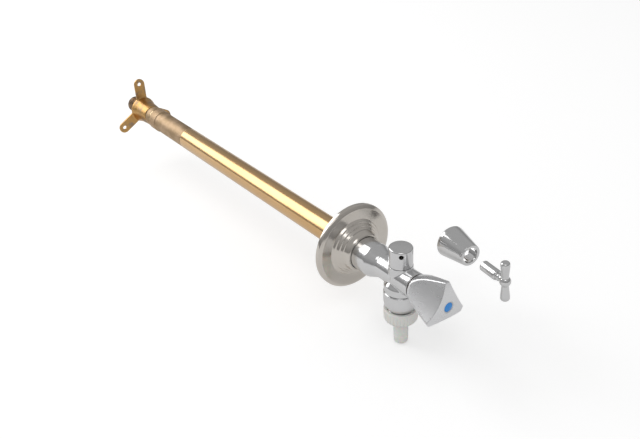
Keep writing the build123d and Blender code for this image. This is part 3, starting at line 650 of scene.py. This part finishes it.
tail_plastic = Finish("tail_plastic", subsurface_weight=0.30, subsurface_scale=0.004)
tail_cloud = tail_plastic.noise(140.0, 2.0)
tail_plastic.show(
    base_color=tail_plastic.blend(tail_cloud, (0.86, 0.86, 0.82), (0.91, 0.91, 0.88)),
    roughness=0.28 + 0.10 * tail_cloud,
    normal=tail_plastic.bump(tail_plastic.noise(1500.0, 2.0), 0.00002),
)
tail_bore = 4.5
tail_radius = 7.1
tail_flange = 12.55
tail_flange_top = -46.64
tail_flange_foot = -48.64
tail_foot = -73.5
tail_profile = rounded([
    (tail_bore, tail_flange_top), (tail_flange, tail_flange_top, 0.3), (tail_flange, tail_flange_foot, 0.3),
    (6.8, tail_flange_foot), (6.8, -52.0), (tail_radius, -52.0), (tail_radius, -60.3, 0.3), (7.32, -60.9, 0.2),
    (6.9, -65.4, 0.3), (7.2, -65.9, 0.2), (6.7, tail_foot, 1.5), (tail_bore, tail_foot, 0.4),
])
tail = turned("hose_tail_moulding", tail_profile, upright, spout)
dress(tail, "tap_body", "tail_plastic", tail_plastic, "hose_tail")

# Handle: a zinc casting with three scooped sides and a domed front, plated and brushed to a satin. Its edges are
# eased by the brushing and catch the light as thin lines. Places along it are counted forward from the spout's axis.
handle_back = 21.4
handle_top = 62.4
handle_hub_radius = 12.0
handle_corner_radius = 24.4
handle_dome_radius = 80.0
handle_scoop_radius = 110.0
handle_scoop_depth = 12.5
handle_twist = 2.5
handle_edge = 0.6
handle_ease = 0.9
clear_of_handle = 90.0
skirt_bore = 10.9
skirt_floor = 33.6
insert_bore = 7.02
insert_floor = 46.62
screw_bore = 4.1
index_bore = 5.6
index_floor = 58.4
index_mouth = 6.0
flare_share = np.array([0, 0.10, 0.29, 0.47, 0.69, 0.85, 1.0])
flare_rise = np.array([0, 0.16, 0.40, 0.575, 0.75, 0.885, 1.0])


def soft_min(first, second, ease):
    """The smaller of two numbers, with the corner between them rounded over ease."""
    share = np.clip(0.5 + 0.5 * (second - first) / ease, 0, 1)
    return second * (1 - share) + first * share - ease * share * (1 - share)


def bent(first, middle, last, share):
    """Point at a share of the bow from first to last that leaves and arrives in line with middle."""
    return (1 - share) ** 2 * first + 2 * share * (1 - share) * middle + share**2 * last


def dome_place(radius):
    """Place of the front dome at a radius: top - R + root(R^2 - radius^2)."""
    return handle_top - handle_dome_radius + np.sqrt(handle_dome_radius**2 - radius**2)


def handle_surface():
    """Handle as rings of points: turn a against a run of stations from the recess in its back over the flank and
    the dome to the recess in its front. The radius on the flank is the smaller of the flared blank and the distance
    to the nearest scoop, D cos d - root(R^2 - (D sin d)^2), where d is the turn from the scoop's middle."""
    turn = np.linspace(0, 2 * math.pi, 420, endpoint=False)[:, None]
    middles = np.radians(handle_twist - 30 + 120 * np.arange(3))[None, :]
    off = np.abs((turn - middles + math.pi) % (2 * math.pi) - math.pi).min(1)[:, None]
    reach = handle_scoop_depth + handle_scoop_radius
    inside = np.clip(handle_scoop_radius**2 - (reach * np.sin(off)) ** 2, 0, None)
    side = np.where(off < math.pi / 2, reach * np.cos(off) - np.sqrt(inside), clear_of_handle)

    corner_place = float(dome_place(np.array(handle_corner_radius)))
    corners = np.full_like(side, handle_corner_radius)
    end = dome_place(soft_min(corners, side, handle_ease)) - handle_edge
    place = handle_back + (end - handle_back) * np.linspace(0.012, 1, 72)[None, :] ** 0.9
    flare = np.polyval(np.polyfit(flare_share, flare_rise, 4), (place - handle_back) / (corner_place - handle_back))
    blank = handle_hub_radius + (handle_corner_radius - handle_hub_radius) * flare
    radius = soft_min(blank, side, handle_ease)

    last = radius[:, -1:]
    rim = last - handle_edge
    bend = np.linspace(0, 1, 9)[None, 1:]
    inward = np.linspace(0, 1, 34)[None, 1:]
    front_radius = rim + (index_mouth - rim) * inward
    recess = rounded([
        (index_mouth, dome_place(index_mouth)), (index_bore, dome_place(index_bore) - 0.1, 0.15),
        (index_bore, index_floor), (screw_bore, index_floor), (screw_bore, insert_floor),
        (insert_bore, insert_floor), (insert_bore, skirt_floor), (skirt_bore, skirt_floor),
        (skirt_bore, handle_back, 0.3), (11.9, handle_back, 0.2),
    ])[1:]
    recess = np.repeat(recess[None], len(turn), 0)
    radius = np.concatenate([radius, bent(last, last, rim, bend), front_radius, recess[..., 0]], 1)
    edge_place = bent(end, dome_place(last), dome_place(rim), bend)
    place = np.concatenate([place, edge_place, dome_place(front_radius), recess[..., 1]], 1)
    return np.stack([radius * np.cos(turn), spout_place - place, -radius * np.sin(turn)], -1)


handle_chrome = Finish("handle_chrome", metallic=1.0)
handle_brush = handle_chrome.noise(900.0, 3.0, (1.0, 0.12, 1.0))
handle_cloud = handle_chrome.noise(45.0, 2.0)
handle_chrome.show(
    base_color=handle_chrome.blend(handle_cloud, (0.84, 0.84, 0.85), (0.90, 0.90, 0.91)),
    roughness=0.22 + 0.08 * handle_brush + 0.05 * handle_cloud,
    normal=handle_chrome.bump(handle_brush, 0.000012),
)
handle = skin("handle_casting", handle_surface(), (True, True))
dress(handle, "handle", "handle_chrome", handle_chrome, "handle")

# Index: a blue plastic button pressed into the middle of the handle's front to mark the cold tap, set in a ring over
# the chamfer round it. The ring's pale grey is painted highlight and stands for the light that chamfer catches. The
# button stands a hair proud of its ring.
index_back = -586.4
dot_radius = 4.7
index_blue = Finish("index_blue", coat_weight=0.4, coat_roughness=0.05, roughness=0.25)
blue_cloud = index_blue.noise(300.0, 2.0)
index_blue.show(base_color=index_blue.blend(blue_cloud, (0.018, 0.27, 0.78), (0.030, 0.32, 0.86)))
dot_profile = rounded([
    (0, -590.25), (3.0, -590.1), (4.6, -589.8, 0.4), (dot_radius, index_back), (0, index_back),
])
dot = turned("index_dot", dot_profile)
dress(dot, "handle", "index_plastic", index_blue, "index_cap")

ring_bore = 4.75
ring_radius = 5.55
ring_front = -589.95
# The ring's pale grey is painted highlight: it stands for the light caught on the chamfer round the button.
index_pale = Finish("index_pale", roughness=0.3)
pale_cloud = index_pale.noise(400.0, 2.0)
index_pale.show(base_color=index_pale.blend(pale_cloud, (0.62, 0.64, 0.66), (0.72, 0.74, 0.76)))
ring_profile = rounded([
    (ring_bore, index_back), (ring_bore, ring_front, 0.2), (ring_radius, ring_front, 0.2), (ring_radius, index_back),
])
index_ring = turned("index_ring", ring_profile)
dress(index_ring, "handle", "index_plastic", index_pale, "index_cap")

# Cone sleeve and key: two loose chromed brass pieces that come with the tap and lie beside its handle on one line.
# The cone is turned with a wide skirt, and the key has a square socket and a waisted cross bar.
loose_yaw = math.radians(7.7)
loose_along = (math.sin(loose_yaw), math.cos(loose_yaw), 0.0)
loose_start = (76.7, -513.5, 0.0)
loose_chrome = chrome_plate("loose_chrome", shade=(0.80, 0.80, 0.80), gloss=0.07)
cone_length = 32.0
cone_skirt_bore = 13.6
cone_bore = 7.9
cone_profile = rounded([
    (cone_skirt_bore, 0.0, 0.2), (15.65, 0.0, 0.3), (16.15, -1.0, 0.4), (15.9, -3.4, 0.5),
    (10.95, -cone_length, 0.7), (cone_bore, -cone_length, 0.5), (cone_bore, -20.0, 1.0),
    (cone_skirt_bore, -14.0, 1.0),
])
cone = turned("cone_sleeve_turning", cone_profile, loose_along, loose_start, sides=224)
dress(cone, "tap_body", "loose_chrome", loose_chrome, "cone_sleeve")
key = softened("key_turning", "key", cell=0.24, passes=5)
dress(key, "key", "loose_chrome", loose_chrome, "key")

# The pieces inside: machined brass, black rubber, pale valve plastic and bright steel wire, each with the marks of
# how it is made.
valve_brass = Finish("valve_brass", metallic=1.0)
valve_turning = valve_brass.noise(1600.0, 2.0, (1.0, 3.0, 1.0))
valve_brass.show(
    base_color=valve_brass.blend(valve_turning, (0.66, 0.45, 0.20), (0.78, 0.56, 0.28)),
    roughness=0.24 + 0.12 * valve_turning,
    normal=valve_brass.bump(valve_turning, 0.00001),
)
seal_rubber = Finish("seal_rubber")
seal_cloud = seal_rubber.noise(500.0, 3.0)
seal_rubber.show(
    base_color=seal_rubber.blend(seal_cloud, (0.018, 0.018, 0.018), (0.04, 0.04, 0.04)),
    roughness=0.45 + 0.15 * seal_cloud,
)
valve_plastic = Finish("valve_plastic")
valve_cloud = valve_plastic.noise(300.0, 3.0)
valve_plastic.show(
    base_color=valve_plastic.blend(valve_cloud, (0.66, 0.65, 0.60), (0.76, 0.75, 0.71)),
    roughness=0.38 + 0.10 * valve_cloud,
    normal=valve_plastic.bump(valve_cloud, 0.00002),
)
spring_steel = Finish("spring_steel", metallic=1.0)
wire_line = spring_steel.noise(1200.0, 2.0)
spring_steel.show(
    base_color=spring_steel.blend(wire_line, (0.52, 0.52, 0.52), (0.64, 0.64, 0.64)),
    roughness=0.22 + 0.12 * wire_line,
)
inside_finishes = {
    "valve_brass": valve_brass,
    "seal_rubber": seal_rubber,
    "valve_plastic": valve_plastic,
    "spring_steel": spring_steel,
}
for part in frame["record"]["subparts"]:
    inside = inside_finishes.get(part["material_slot"])
    if inside:
        solid = frame["nodes"][part["node"]]
        solid.data.materials.clear()
        solid.data.materials.append(inside.material)
